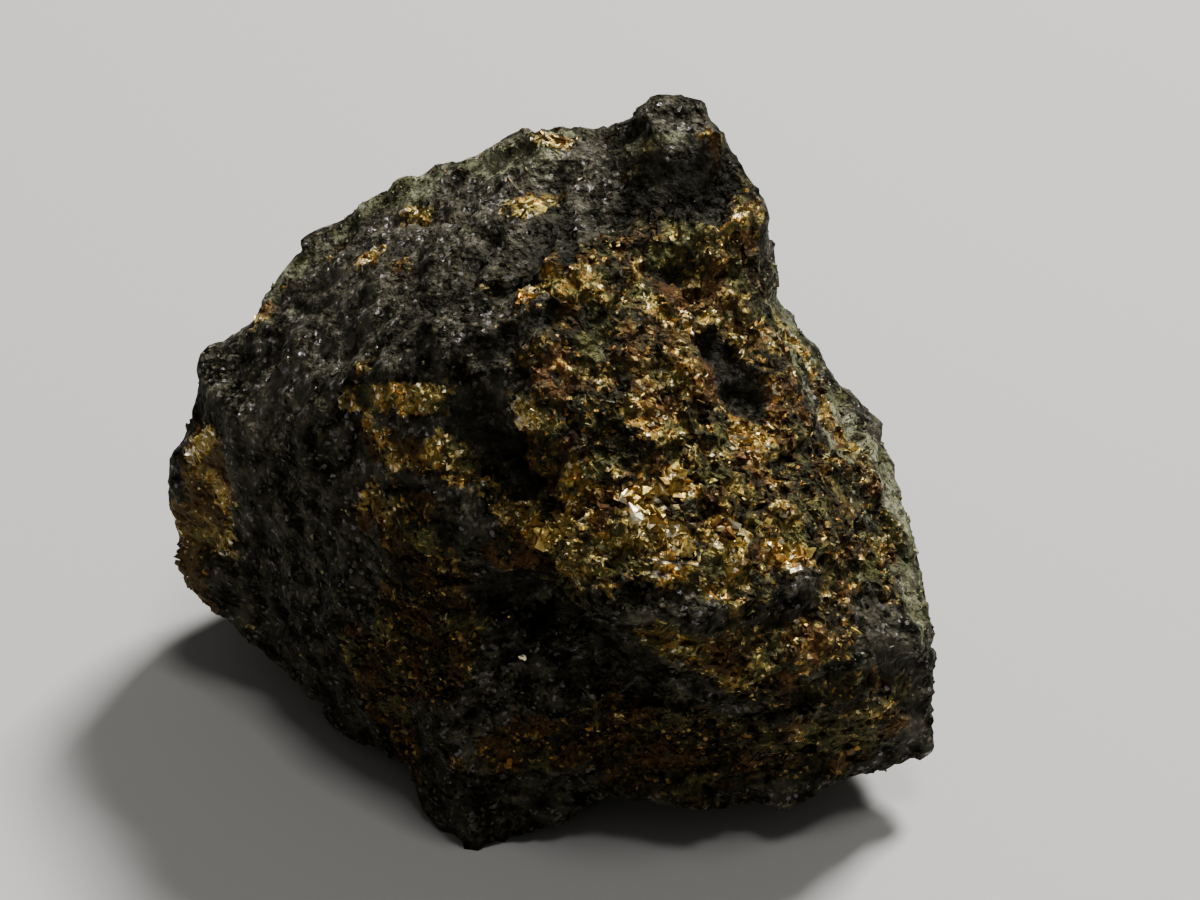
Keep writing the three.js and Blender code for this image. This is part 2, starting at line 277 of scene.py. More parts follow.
# Where pyrite grains grow, and how bright, how smooth and how large they are.
EDGE_THINNING = 1.5
DULL_CHANCE, HOLLOW_THINNING = 0.1, 0.7
CLUSTER_FROM, FRESH_CLUSTER, CLUSTER_LEAST = (-0.25, 0.35), (0.6, 0.8), 0.2
CRUST_CHANCE, RIND_CHANCE, STRAY_CHANCE = 0.4, 0.05, 0.003
TONE_LEAST, TONE_FRESH, TONE_LUCK, TONE_CRUST = 0.04, 0.66, 0.7, 0.25
POLISH_LEAST, POLISH_CRUST = 0.4, 0.7
GROWTH_FROM, FRESH_GROWTH = (0.65, 0.9), 0.8
# How much each kind of surface keeps magnetite grains away.
KEEPS_OFF = {"pyrite": 0.9, "crust": 0.8, "rind": 0.85, "shaded_gap": 0.5}
CRUMB_CHANCE = 0.01  # away from the rind


def spot(across, deep, high):
    """Point in mm of a place given in percent of the stone's box."""
    low, size = LOW, HIGH - LOW
    return low + size * np.array([across, deep, high]) / 100


def along(edge, share):
    """Point at a share of the way along an edge."""
    reach = share * (len(edge) - 1)
    start = min(int(reach), len(edge) - 2)
    a, b = spot(*edge[start]), spot(*edge[start + 1])
    return a + (b - a) * (reach - start)


def on_face(face, across, down):
    """Point of a face, in percent of its edges and between them."""
    top, bottom = FACES[face]
    a, b = along(top, across / 100), along(bottom, across / 100)
    return a + (b - a) * (down / 100)


def single(strokes):
    """Each stroke of a table, with its face."""
    return [(face, stroke) for face, *row in strokes for stroke in row]


def smooth_noise(points, length, place):
    """Smooth noise between about -1 and 1."""
    shifted = points / length + place * NOISE_STEP
    return np.array([noise.noise(p) for p in shifted.tolist()])


def ripple(points, name):
    height, length, place = RIPPLES[name]
    return height * smooth_noise(points, length, place)


def furrows(points, run, length, width, place):
    """Noise drawn out along a direction."""
    run = np.array(run) / np.linalg.norm(run)
    drawn = points + ((points @ run) * (width / length - 1))[:, None] * run
    return smooth_noise(drawn, width, place)


def ease(value, low, high):
    """0 below low, 1 above high and smooth between."""
    t = np.clip((value - low) / (high - low), 0, 1)
    return t * t * (3 - 2 * t)


def at_least(least, share):
    """A share, raised to run from least to 1."""
    return least + (1 - least) * share


def without(most, share):
    """What is left of 1 where a share takes up to most of it."""
    return 1 - most * share


def luck(random, count, name):
    return random.random(count) ** RARITY[name]


class Skin:
    """The stone's solid as points and triangles in mm."""

    def __init__(self):
        self.points, self.triangles = self.from_solid()
        for _ in range(SPLITS):
            self.split()
        self.smooth()
        self.jostle(np.random.default_rng(PART_SEED["skin"]))
        self.tree = BVHTree.FromPolygons(self.points.tolist(), self.triangles.tolist())
        self.normals = self.point_normals()

    def from_solid(self):
        """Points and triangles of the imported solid."""
        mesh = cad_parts[NODE].data
        mesh.calc_loop_triangles()
        places = np.round([v.co[:] for v in mesh.vertices], 6)
        corners = np.array([t.vertices[:] for t in mesh.loop_triangles])
        merged, index = np.unique(places, axis=0, return_inverse=True)
        return merged / MM, index.reshape(-1)[corners]

    def edges(self):
        t = self.triangles
        return np.sort(np.concatenate([t[:, [0, 1]], t[:, [1, 2]], t[:, [2, 0]]]), axis=1)

    def split(self):
        edges, index = np.unique(self.edges(), axis=0, return_inverse=True)
        ab, bc, ca = index.reshape(3, -1) + len(self.points)
        a, b, c = self.triangles.T
        self.points = np.concatenate([self.points, self.points[edges].mean(axis=1)])
        parts = ((a, ab, ca), (ab, b, bc), (ca, bc, c), (ab, bc, ca))
        self.triangles = np.concatenate([np.stack(part, axis=1) for part in parts])

    def smooth(self):
        """Softens the creases of the solid and leaves its foot level."""
        edges = np.unique(self.edges(), axis=0)
        a, b = edges.T
        foot = self.points[:, 2] < FOOT_LEVEL
        counts = np.bincount(edges.reshape(-1), minlength=len(self.points))[:, None]
        for _ in range(SMOOTH_ROUNDS):
            sums = np.zeros_like(self.points)
            np.add.at(sums, a, self.points[b])
            np.add.at(sums, b, self.points[a])
            softer = (self.points + sums / counts) / 2
            self.points = np.where(foot[:, None], self.points, softer)

    def jostle(self, random):
        """Shifts the points a little sideways, all but those of the foot."""
        shift = random.normal(size=self.points.shape) * JOSTLE
        normals = self.point_normals()
        shift -= (shift * normals).sum(axis=1, keepdims=True) * normals
        foot = self.points[:, 2] < FOOT_LEVEL
        self.points = np.where(foot[:, None], self.points, self.points + shift)

    def point_normals(self):
        """Outward direction of the skin at each point."""
        a, b, c = (self.points[self.triangles[:, i]] for i in range(3))
        across = np.cross(b - a, c - a)
        sums = np.zeros_like(self.points)
        for i in range(3):
            np.add.at(sums, self.triangles[:, i], across)
        return sums / np.linalg.norm(sums, axis=1, keepdims=True)

    def on_skin(self, *place):
        """Nearest point of the skin to a spot on a face."""
        return np.array(self.tree.find_nearest(Vector(on_face(*place)))[0])

    def closeness(self, strokes, points, wander=0.0, stray=0.0):
        """How near points are to each stroke, from 1 on it to 0 far off.

        Wander makes its edge ragged, and stray, in mm, bends it.
        """
        rows = []
        for faces, (across, down, to_across, to_down, radius, *_) in single(strokes):
            face, _, to_face = faces.partition(" to ")
            a = self.on_skin(face, across, down)
            axis = self.on_skin(to_face or face, to_across, to_down) - a
            share = np.clip((points - a) @ axis / max(axis @ axis, SHORTEST), 0, 1)
            bend = stray * min(1, max(0, radius - STRAIGHT_RADIUS))
            gap = np.abs(np.linalg.norm(points - a - share[:, None] * axis, axis=1) + bend)
            ragged = min(1, radius / RAGGED_RADIUS)
            rows.append(np.exp(-((gap / radius) ** 2)) + ragged * wander)
        return np.array(rows)

    def cover(self, strokes, points):
        return self.closeness(strokes, points).max(axis=0)

    def kinds(self, points, flake_tone):
        """How much of each kind of surface there is, and how fresh its pyrite is."""
        wander = ripple(points, "wander") + ripple(points, "fine wander")
        stray = ripple(points, "stray") + ripple(points, "fine stray")
        at = {}
        for kind, (strokes, start, full, wandering, straying) in SURFACES.items():
            near = self.closeness(strokes, points, wandering * wander, straying * stray)
            at[kind] = ease(near.max(axis=0), start, full)
            if kind == "pyrite":
                fresh = self.freshness(near)
        even = ease(fresh, *EVEN_FROM)
        fresh = fresh * (1 + FRESH_SWING * (1 - even) * ripple(points, "freshness"))
        clump = flake_tone + ripple(points, "clump") + ripple(points, "fine clump")
        clump = at_least(DULLEST, ease(clump, *CLUMP_FROM))
        olive = OLIVE_DULLS * at.pop("olive")
        at["shaded_gap"] *= 1 - even
        at["pyrite"] *= without(BARE_HIDES, at["shaded_gap"])
        at["rind"] *= without(PYRITE_HIDES, at["pyrite"])
        at["fresh"] = np.clip(fresh * (even + (1 - even) * clump) - olive, 0, 1)
        at["fresh"] *= without(BARE_DULLS, at["shaded_gap"])
        return at

    def freshness(self, near):
        """Mean freshness of the strokes that lie near each point."""
        radius, percent = np.array([stroke[-2:] for _, stroke in single(PYRITE_STROKES)]).T
        # small crystals stand out from wide patches
        pull = np.clip(near, FARTHEST, None) ** 4 / radius[:, None] ** 2
        return (pull * (percent / 100)[:, None]).sum(axis=0) / pull.sum(axis=0)

    def mean_kinds(self):
        return {kind: values[self.triangles].mean(axis=1) for kind, values in self.kinds_at.items()}


def chips(points, width, tilt, step, stretch, random):
    """Broken flakes: the rise of each point and its flake's own tone."""
    count = int(len(points) * (POINT_SPACING / width) ** 2)
    scaled = points / np.array(stretch)
    middles = scaled[random.choice(len(points), count, replace=False)]
    tree = kdtree.KDTree(count)
    for i, middle in enumerate(middles.tolist()):
        tree.insert(middle, i)
    tree.balance()
    owner = np.array([tree.find(p)[1] for p in scaled.tolist()])
    lean = random.uniform(-tilt, tilt, (count, 3))
    lift = random.uniform(-step, step, count)
    rise = ((scaled - middles[owner]) * lean[owner]).sum(axis=1) + lift[owner]
    return rise, random.random(count)[owner]


def add_object(name, data):
    thing = bpy.data.objects.new(name, data)
    bpy.context.scene.collection.objects.link(thing)
    return thing


def mesh_object(name, points, triangles, marks, smooth=None):
    """A mesh from points in mm, with numbers for each."""
    mesh = bpy.data.meshes.new(name)
    mesh.from_pydata((points * MM).tolist(), [], triangles.tolist())
    for mark, values in marks.items():
        layer = mesh.attributes.new(mark, "FLOAT", "POINT")
        layer.data.foreach_set("value", values.astype(np.float32))
    if smooth is not None:
        mesh.polygons.foreach_set("use_smooth", smooth)
    mesh.update()
    return add_object(name, mesh)


def place_piece(piece, material):
    """Gives a piece its finish and lets it ride on the stone."""
    piece.data.materials.append(material)
    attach(piece, "root")


# ---- grains ----


def grain_shapes(random):
    """Convex grains with sharp corners, each about 1 across."""
    shapes = []
    for _ in range(SHAPE_KINDS):
        block = bmesh.new()
        corners = random.uniform(-0.5, 0.5, (SHAPE_CORNERS, 3))
        corners /= np.maximum(np.abs(corners).max(axis=1, keepdims=True) * 2, ROUNDNESS)
        for corner in corners:
            block.verts.new(corner)
        hull = bmesh.ops.convex_hull(block, input=block.verts)
        spare = hull["geom_interior"] + hull["geom_unused"]
        spare = {part for part in spare if isinstance(part, bmesh.types.BMVert)}
        bmesh.ops.delete(block, geom=list(spare), context="VERTS")
        bmesh.ops.recalc_face_normals(block, faces=block.faces)
        block.verts.index_update()
        points = np.array([v.co[:] for v in block.verts])
        triangles = np.array([[v.index for v in f.verts] for f in block.faces])
        shapes.append((points - points.mean(axis=0), triangles))
        block.free()
    return shapes


def scatter(points, triangles, chance, count, random):
    """Places, outward directions and triangles of grains, spread by chance."""
    a, b, c = (points[triangles[:, i]] for i in range(3))
    across = np.cross(b - a, c - a)
    size = np.linalg.norm(across, axis=1)
    weight = size * chance
    chosen = random.choice(len(triangles), count, p=weight / weight.sum())
    u, v = random.random((2, count, 1))
    flip = u + v > 1
    u, v = np.where(flip, 1 - u, u), np.where(flip, 1 - v, v)
    place = a[chosen] + u * (b - a)[chosen] + v * (c - a)[chosen]
    return place, across[chosen] / size[chosen, None], chosen


def grain_axes(outward, lean, random):
    """Three axes for each grain, the last near its outward direction."""
    up = outward + random.normal(size=outward.shape) * lean
    up /= np.linalg.norm(up, axis=1, keepdims=True)
    side = np.cross(np.array([0, 0, 1.0]), up) + random.normal(size=up.shape) * GRAIN_TURN
    side -= (side * up).sum(axis=1, keepdims=True) * up
    side /= np.linalg.norm(side, axis=1, keepdims=True)
    return np.stack([side, np.cross(up, side), up], axis=1)


def grain_cloud(name, places, axes, sizes, marks, random):
    """One mesh of many grains. Each number in marks holds for a whole grain."""
    shapes = grain_shapes(random)
    kind = random.integers(len(shapes), size=len(places))
    all_points, all_triangles, owners, start = [], [], [], 0
    for k, (corners, triangles) in enumerate(shapes):
        mine = np.flatnonzero(kind == k)
        local = corners[None] * sizes[mine, None]
        world = np.einsum("gci,gij->gcj", local, axes[mine]) + places[mine, None]
        shift = start + len(corners) * np.arange(len(mine))[:, None, None]
        all_points.append(world.reshape(-1, 3))
        all_triangles.append((triangles[None] + shift).reshape(-1, 3))
        owners.append(np.repeat(mine, len(corners)))
        start += len(corners) * len(mine)
    owner = np.concatenate(owners)
    by_point = {mark: values[owner] for mark, values in marks.items()}
    return mesh_object(name, np.concatenate(all_points), np.concatenate(all_triangles), by_point)


def grains_on(name, chance, settings, random, tone, polish=None, growth=None):
    """Grains over the stone, by the chance of each triangle."""
    skin = stone_skin()
    flatness, sink, lean = GRAINS[name]
    count = settings.count
    places, outward, chosen = scatter(skin.points, skin.triangles, chance, count, random)
    size = luck(random, count, "size")
    size = settings.smallest + (settings.largest - settings.smallest) * size
    if growth is not None:
        size *= growth[chosen]
    axes = grain_axes(outward, lean, random)
    shape = [random.uniform(*span, count) for span in (GRAIN_LENGTH, GRAIN_WIDTH, flatness)]
    sizes = np.stack(shape, axis=1) * size[:, None]
    high = places[:, 2] > GRAIN_LEVEL
    places = places - outward * (sizes[:, 2] * sink)[:, None]
    marks = {"tone": tone(places, chosen)}
    if polish is not None:
        marks["polish"] = polish(places, chosen)
    marks = {mark: values[high] for mark, values in marks.items()}
    return grain_cloud(name, places[high], axes[high], sizes[high], marks, random)


# ---- shader groups ----
# Colours of pyrite by tone, from 0 to 1.
TARNISH_STOPS = (
    (0, "gap"), (0.2, "olive"), (0.34, "brown"), (0.5, "moss"),
    (0.6, "orange"), (0.7, "gold"), (0.86, "yellow"), (1, "pale"),
)
# Noises of the materials: features in a metre and detail, and then how most of them are read: a
# low and a high value, and what these give.
NOISES = {
    "tarnish patches": (260, 3),
    "bumps": (1100, 6),
    "gaps": (520, 4, 0.42, 0.68, 0, 1),
    "fine edges": (1300, 4, 0.4, 0.6, -0.32, 0.32),
    "rind blots": (330, 6, 0.38, 0.62, -0.5, 0.2),
    "mottle": (450, 9, 0.4, 0.72, 0, 0.8),
    "tone drift": (700, 3, 0.35, 0.65, -0.12, 0.12),
    "bleached patches": (220, 5, 0.38, 0.62, 0.25, 1),
}
# Cells of the crystal glitter in a metre, and how far they turn the surface.
GLITTER = {
    "broken stone": (2400, 0.6),
    "tarnished pyrite": (2200, 0.4),
    "magnetite grain": (4000, 0.5),
    "weathered crumb": (4000, 0.3),
}
# How other values are read.
READINGS = {
    "film": (0.7, 0.95, 1, 0.15),
    "rust": (0.53, 0.66, 0, 0.55),
    "moss": (0.47, 0.36, 0, 0.5),
    "surface share": (0.3, 0.75, 0, 1),
    "specks": (0.72, 0.95, 0, 0.55),
    "glint out of painted shade": (0.1, 0.9, 0.8, 0.1),
    "ripe crust": (0.15, 0.5, 0, 1),
    "hollow shade": (0, 1, 0, 0.62),
    "stone roughness": (0, 1, 0.62, 0.2),
    "pyrite roughness": (0, 1, 0.6, 0.3),
    "grain roughness": (0, 1, 0.55, 0.2),
    "pyrite metal": (0.2, 0.6, 0.35, 0.9),
    "stone metal": (0, 1, 0.2, 0.9),
    "metal under painted shade": (0.3, 1, 1, 0.2),
    "grain metal": (0.4, 0.8, 0.75, 0.95),
}
GLINT_FROM = (0.96, 1)  # only the brightest cells glint
STONE_STAIN, GRAIN_STAIN = 0.45, 0.5  # how strongly dark gaps stain the pyrite
DARK_SPECULAR = 0.12  # dark rock hardly shines
BUMP_DEPTH = 0.0011  # metres
WEAR_AND_HIGHLIGHT = 0.35  # how far the pale mark, wear and painted highlight, makes magnetite paler
PALE_MARK_GLINTS = 0.10  # how much more often magnetite glints under the pale mark
RARE_POWER, RARE_TONE = 5.0, 0.6  # a few crystal cells of the pyrite are brighter


def feed(tree, node, inputs):
    """Gives a node its inputs, each a link or a value."""
    for key, value in inputs.items():
        if isinstance(value, bpy.types.NodeSocket):
            tree.links.new(value, node.inputs[key])
        else:
            node.inputs[key].default_value = value


def add_node(tree, kind, inputs=None, **settings):
    node = tree.nodes.new(kind)
    for key, value in settings.items():
        setattr(node, key, value)
    feed(tree, node, inputs or {})
    return node


def calculate(tree, operation, *values):
    inputs = dict(enumerate(values))
    return add_node(tree, "ShaderNodeMath", inputs, operation=operation).outputs[0]


def blend_value(tree, share, under, over):
    return add_node(tree, "ShaderNodeMix", {0: share, 2: under, 3: over}).outputs[0]


def blend_colour(tree, share, under, over):
    """Lays one colour over another, each a link or three numbers."""
    inputs = {0: share, 6: under, 7: over}
    for key in (6, 7):
        if not isinstance(inputs[key], bpy.types.NodeSocket):
            inputs[key] = opaque(inputs[key])
    return add_node(tree, "ShaderNodeMix", inputs, data_type="RGBA").outputs[2]


def mark_value(tree, mark):
    return add_node(tree, "ShaderNodeAttribute", attribute_name=mark).outputs["Fac"]


def spread(tree, value, low, high, out_low, out_high):
    """Maps a value from one range to another and holds it at the ends."""
    return add_node(tree, "ShaderNodeMapRange", {
        "Value": value, "From Min": low, "From Max": high,
        "To Min": out_low, "To Max": out_high}).outputs["Result"]


def reading(tree, value, name):
    return spread(tree, value, *READINGS[name])


def body_noise(tree, name):
    """One of the NOISES, fixed to the piece."""
    scale, detail, *span = NOISES[name]
    place = add_node(tree, "ShaderNodeTexCoord").outputs["Object"]
    value = add_node(tree, "ShaderNodeTexNoise", {
        "Vector": place, "Scale": scale, "Detail": detail}).outputs["Fac"]
    return spread(tree, value, *span) if span else value


def opaque(colour):
    return (*colour, 1.0)


def new_group(name, inputs, outputs):
    """An empty shader group and its two end nodes."""
    group = bpy.data.node_groups.new(name, "ShaderNodeTree")
    for label, kind, value in inputs:
        socket = group.interface.new_socket(label, in_out="INPUT", socket_type=kind)
        socket.default_value = value
    for label, kind in outputs:
        group.interface.new_socket(label, in_out="OUTPUT", socket_type=kind)
    return group, group.nodes.new("NodeGroupInput"), group.nodes.new("NodeGroupOutput")


def glitter_group():
    """Turns the surface's direction a little in each cell, as fine crystals do."""
    name = "crystal glitter"
    if name in bpy.data.node_groups:
        return bpy.data.node_groups[name]
    inputs = [("Cells per metre", "NodeSocketFloat", 3000.0), ("Strength", "NodeSocketFloat", 0.5)]
    outputs = [("Normal", "NodeSocketVector"), ("Cell", "NodeSocketFloat")]
    group, start, end = new_group(name, inputs, outputs)

    def steer(operation, inputs):
        node = add_node(group, "ShaderNodeVectorMath", inputs, operation=operation)
        return node.outputs[0]

    place = add_node(group, "ShaderNodeTexCoord").outputs["Object"]
    cells = add_node(group, "ShaderNodeTexVoronoi", {
        "Vector": place, "Scale": start.outputs["Cells per metre"]}).outputs["Color"]
    turn = steer("SUBTRACT", {0: cells, 1: (0.5, 0.5, 0.5)})
    turn = steer("SCALE", {0: turn, "Scale": start.outputs["Strength"]})
    surface = add_node(group, "ShaderNodeNewGeometry").outputs["Normal"]
    turned = steer("NORMALIZE", {0: steer("ADD", {0: surface, 1: turn})})
    shade = add_node(group, "ShaderNodeSeparateColor", {"Color": cells}).outputs[0]
    feed(group, end, {"Normal": turned, "Cell": shade})
    return group


def tarnish_group(colours):
    """Colours of pyrite by tone, from dark film to pale gold."""
    name = "pyrite tarnish"
    if name in bpy.data.node_groups:
        return bpy.data.node_groups[name]
    inputs = [("Tone", "NodeSocketFloat", 0.5), ("Stain", "NodeSocketFloat", 0.6)]
    group, start, end = new_group(name, inputs, [("Color", "NodeSocketColor")])
    tone, strength = start.outputs["Tone"], start.outputs["Stain"]
    ramp = add_node(group, "ShaderNodeValToRGB", {"Fac": tone})
    stops = ramp.color_ramp.elements
    for position, _ in TARNISH_STOPS[1:-1]:
        stops.new(position)
    for stop, (_, tint) in zip(stops, TARNISH_STOPS):
        stop.color = opaque(getattr(colours, tint))
    patch = body_noise(group, "tarnish patches")
    stain = calculate(group, "MULTIPLY", body_noise(group, "gaps"), strength)
    film = reading(group, tone, "film")
    colour = ramp.outputs["Color"]
    for mask, tint in ((reading(group, patch, "rust"), colours.rust),
                       (reading(group, patch, "moss"), colours.moss),
                       (stain, colours.gap)):
        colour = blend_colour(group, calculate(group, "MULTIPLY", mask, film), colour, tint)
    feed(group, end, {"Color": colour})
    return group


# ---- materials ----


def new_material(name, inputs=None):
    """A material and its shader, with the inputs that are the same all over."""
    material = bpy.data.materials.new(name)
    material.use_nodes = True
    tree = material.node_tree
    shader = tree.nodes["Principled BSDF"]
    feed(tree, shader, inputs or {})
    return material, tree, shader


def add_glitter(tree, shader, name):
    """Feeds a shader's normal from the glitter group, and returns the cell value."""
    inputs = dict(zip(("Cells per metre", "Strength"), GLITTER[name]))
    node = add_node(tree, "ShaderNodeGroup", inputs, node_tree=glitter_group())
    feed(tree, shader, {"Normal": node.outputs["Normal"]})
    return node.outputs["Cell"]


def tarnish_colour(tree, colours, tone, stain):
    group, inputs = tarnish_group(colours), {"Tone": tone, "Stain": stain}
    return add_node(tree, "ShaderNodeGroup", inputs, node_tree=group).outputs["Color"]


def surface_share(tree, mark, fine, low=0.0):
    """How much of a kind of surface shows, with edges between the crystals."""
    edge = calculate(tree, "ADD", calculate(tree, "ADD", mark, fine), low)
    return reading(tree, edge, "surface share")


def body_material(colours, gold_colours):
    """Fine magnetite, with pyrite, crust and rind where the stone is marked."""
    name = "broken stone"
    material, tree, shader = new_material(name, {"Specular IOR Level": DARK_SPECULAR})
    cell = add_glitter(tree, shader, name)
    turned = shader.inputs["Normal"].links[0].from_socket
    bumps = {"Height": body_noise(tree, "bumps"), "Distance": BUMP_DEPTH, "Normal": turned}
    feed(tree, shader, {"Normal": add_node(tree, "ShaderNodeBump", bumps).outputs["Normal"]})
    marks = ("pyrite", "rind", "crust", "pale", "hollow", "fresh")
    pyrite, rind, crust, pale, hollow, fresh = (mark_value(tree, mark) for mark in marks)
    fine = body_noise(tree, "fine edges")
    pyrite = surface_share(tree, pyrite, fine)
    rind = surface_share(tree, rind, fine, body_noise(tree, "rind blots"))
    crust = surface_share(tree, crust, fine)

    mottle = body_noise(tree, "mottle")
    # The pale mark lightens the magnetite: wear, and a painted highlight on the lit roof, its rim
    # and the crown's top edge.
    wear_and_painted_light = calculate(tree, "MULTIPLY_ADD", pale, WEAR_AND_HIGHLIGHT, mottle)
    magnetite_lightening = calculate(tree, "ADD", wear_and_painted_light, reading(tree, cell, "specks"))
    face = calculate(tree, "MULTIPLY_ADD", wear_and_painted_light, PALE_MARK_GLINTS, cell)
    # glints are held back where painted shade lies
    glint = spread(tree, face, *GLINT_FROM, 0.0, reading(tree, hollow, "glint out of painted shade"))

    rare = calculate(tree, "POWER", cell, RARE_POWER)
    ground = calculate(tree, "ADD", fresh, body_noise(tree, "tone drift"))
    tone = calculate(tree, "MULTIPLY_ADD", rare, RARE_TONE, ground)
    gold = tarnish_colour(tree, gold_colours, tone, STONE_STAIN)

    # the rind is paler under the pale mark too, with its painted highlight
    bleach_and_highlight = calculate(tree, "MULTIPLY", wear_and_painted_light, body_noise(tree, "bleached patches"))
    weathered = blend_colour(tree, bleach_and_highlight, colours.rind_dark, colours.rind)
    ripe = reading(tree, fresh, "ripe crust")
    crusty = blend_colour(tree, ripe, colours.crust, colours.crust_pale)
    crusty = blend_colour(tree, mottle, crusty, gold_colours.brown)

    colour = blend_colour(tree, magnetite_lightening, colours.magnetite, colours.magnetite_pale)
    # Painted shade: hollows, grooves and dark gaps are laid over with a dark shade colour.
    shade = reading(tree, hollow, "hollow shade")
    for share, over in ((glint, colours.sparkle), (pyrite, gold), (rind, weathered),
                        (crust, crusty), (shade, colours.hollow)):
        colour = blend_colour(tree, share, colour, over)

    rough, smooth = reading(tree, glint, "stone roughness"), reading(tree, cell, "pyrite roughness")
    dull, bright = reading(tree, glint, "stone metal"), reading(tree, tone, "pyrite metal")
    metal = blend_value(tree, pyrite, dull, bright)
    uncovered = calculate(tree, "SUBTRACT", 1.0, calculate(tree, "MAXIMUM", rind, crust))
    metal = calculate(tree, "MULTIPLY", metal, uncovered)
    # less metal under the painted shade, so it reflects less light
    metal = calculate(tree, "MULTIPLY", metal, reading(tree, hollow, "metal under painted shade"))
    rough = blend_value(tree, pyrite, rough, smooth)
    feed(tree, shader, {"Base Color": colour, "Roughness": rough, "Metallic": metal})
    return material


def gold_material(colours):
    """Tarnished pyrite grains, each with a tone and a polish of its own."""
    name = "tarnished pyrite"
    material, tree, shader = new_material(name)
    add_glitter(tree, shader, name)
    tone, polish = mark_value(tree, "tone"), mark_value(tree, "polish")
    feed(tree, shader, {
        "Base Color": tarnish_colour(tree, colours, tone, GRAIN_STAIN),
        "Metallic": reading(tree, tone, "grain metal"),
        "Roughness": reading(tree, polish, "grain roughness")})
    return material


def crumb_material(name, colours, metallic, roughness):
    """Small grains with colours between two shades."""
    material, tree, shader = new_material(name, {
        "Metallic": metallic, "Roughness": roughness, "Specular IOR Level": DARK_SPECULAR})
    add_glitter(tree, shader, name)
    colour = blend_colour(tree, mark_value(tree, "tone"), colours.dark, colours.pale)
    feed(tree, shader, {"Base Color": colour})
    return material


# ---- sizes and colours that a user would change ----


def colour_property(name, description, default):
    return FloatVectorProperty(
        name=name, description=description, default=default, subtype="COLOR", size=3, min=0, max=1)


def mm_property(name, description, default, low, high):
    return FloatProperty(
        name=name, description=description + ", in mm", default=default, min=low, max=high)


def count_property(name, description, default):
    return IntProperty(
        name=name, description=description, default=default, min=100, max=MOST_GRAINS)


class StoneBodySettings(bpy.types.PropertyGroup):
    relief: mm_property("Relief", "Height of the fine unevenness of the magnetite", 0.3, 0, 1)
    grit: mm_property("Grit", "Roughness of the magnetite from point to point", 0.045, 0, 0.3)
    facet: mm_property("Facets", "Roughness of the pyrite from point to point", 0.055, 0, 0.3)
    flake: mm_property("Flake size", "Width of the broken flakes of the pyrite face", 1.5, 0.8, 4)
    ledge: mm_property("Ledges", "Height of the ledges across the pyrite face", 2.8, 1, 6)
    magnetite: colour_property("Magnetite", "Darkest magnetite", (0.0085, 0.008, 0.004))
    magnetite_pale: colour_property("Pale", "Lightest magnetite", (0.16, 0.148, 0.108))
    sparkle: colour_property("Sparkle", "Fresh faces of the magnetite", (0.25, 0.225, 0.235))
    # The colour of the painted shade in hollows, grooves and dark gaps.
    hollow: colour_property("Hollows", "Dust and shade in the hollows", (0.014, 0.013, 0.009))
    rind: colour_property("Rind", "Palest weathered grey-green rind", (0.5, 0.5, 0.35))
    rind_dark: colour_property("Dark rind", "Darkest weathered rind", (0.075, 0.077, 0.032))
    crust: colour_property("Crust", "Dark crust of the left end", (0.17, 0.115, 0.058))
    crust_pale: colour_property("Pale crust", "Yellow crust of the left end", (0.62, 0.47, 0.18))


class PyriteSettings(bpy.types.PropertyGroup):
    count: count_property("Grains", "Number of pyrite grains", 7500)
    smallest: mm_property("Smallest", "Smallest pyrite grain", 0.25, 0.1, 2)
    largest: mm_property("Largest", "Largest pyrite grain", 1.05, 0.5, 5)
    pale: colour_property("Pale gold", "Fresh bright pyrite", (0.97, 0.88, 0.65))
    yellow: colour_property("Yellow", "Bright yellow pyrite", (0.81, 0.63, 0.21))
    gold: colour_property("Gold", "Golden pyrite", (0.5, 0.38, 0.14))
    orange: colour_property("Orange", "Orange tarnish", (0.53, 0.27, 0.07))
    rust: colour_property("Rust", "Patches of rusty tarnish", (0.26, 0.125, 0.05))
    brown: colour_property("Red brown", "Red-brown tarnish", (0.122, 0.07, 0.03))
    moss: colour_property("Moss gold", "Green-gold tarnish", (0.2, 0.195, 0.08))
    olive: colour_property("Olive", "Dark olive-green tarnish", (0.064, 0.06, 0.032))
    gap: colour_property("Gaps", "Dark film and gaps between the grains", (0.028, 0.024, 0.016))


class MagnetiteSettings(bpy.types.PropertyGroup):
    count: count_property("Grains", "Number of magnetite grains", 11000)
    smallest: mm_property("Smallest", "Smallest magnetite grain", 0.25, 0.1, 1)
    largest: mm_property("Largest", "Largest magnetite grain", 0.8, 0.3, 3)
    dark: colour_property("Dark", "Darkest magnetite grain", (0.009, 0.0085, 0.005))
    pale: colour_property("Pale", "Lightest magnetite grain", (0.15, 0.14, 0.105))


class RindSettings(bpy.types.PropertyGroup):
    count: count_property("Crumbs", "Number of weathered crumbs", 5000)
    smallest: mm_property("Smallest", "Smallest crumb", 0.3, 0.1, 1)
    largest: mm_property("Largest", "Largest crumb", 0.9, 0.3, 3)
    dark: colour_property("Dark", "Darkest crumb", (0.05, 0.052, 0.03))
    pale: colour_property("Pale", "Palest crumb", (0.38, 0.38, 0.21))


class StudioSettings(bpy.types.PropertyGroup):
    elevation: FloatProperty(
        name="Elevation", description="Height of the camera above the horizon",
        default=math.radians(40), subtype="ANGLE", unit="ROTATION")
    distance: FloatProperty(
        name="Distance", description="Distance from the camera to the stone",
        default=0.3, min=0.1, subtype="DISTANCE", unit="LENGTH")
    lens: FloatProperty(
        name="Lens", description="Focal length of the camera",
        default=86.9, min=10, subtype="DISTANCE_CAMERA", unit="CAMERA")
    key: FloatProperty(
        name="Key light", description="Strength of the main light", default=28, unit="POWER")
    top: FloatProperty(
        name="Top light", description="Strength of the light above", default=4.2, unit="POWER")
    floor: colour_property("Floor", "Colour of the floor", (0.55, 0.54, 0.52))
    backdrop: colour_property("Backdrop", "Colour behind the floor", (0.22, 0.22, 0.215))


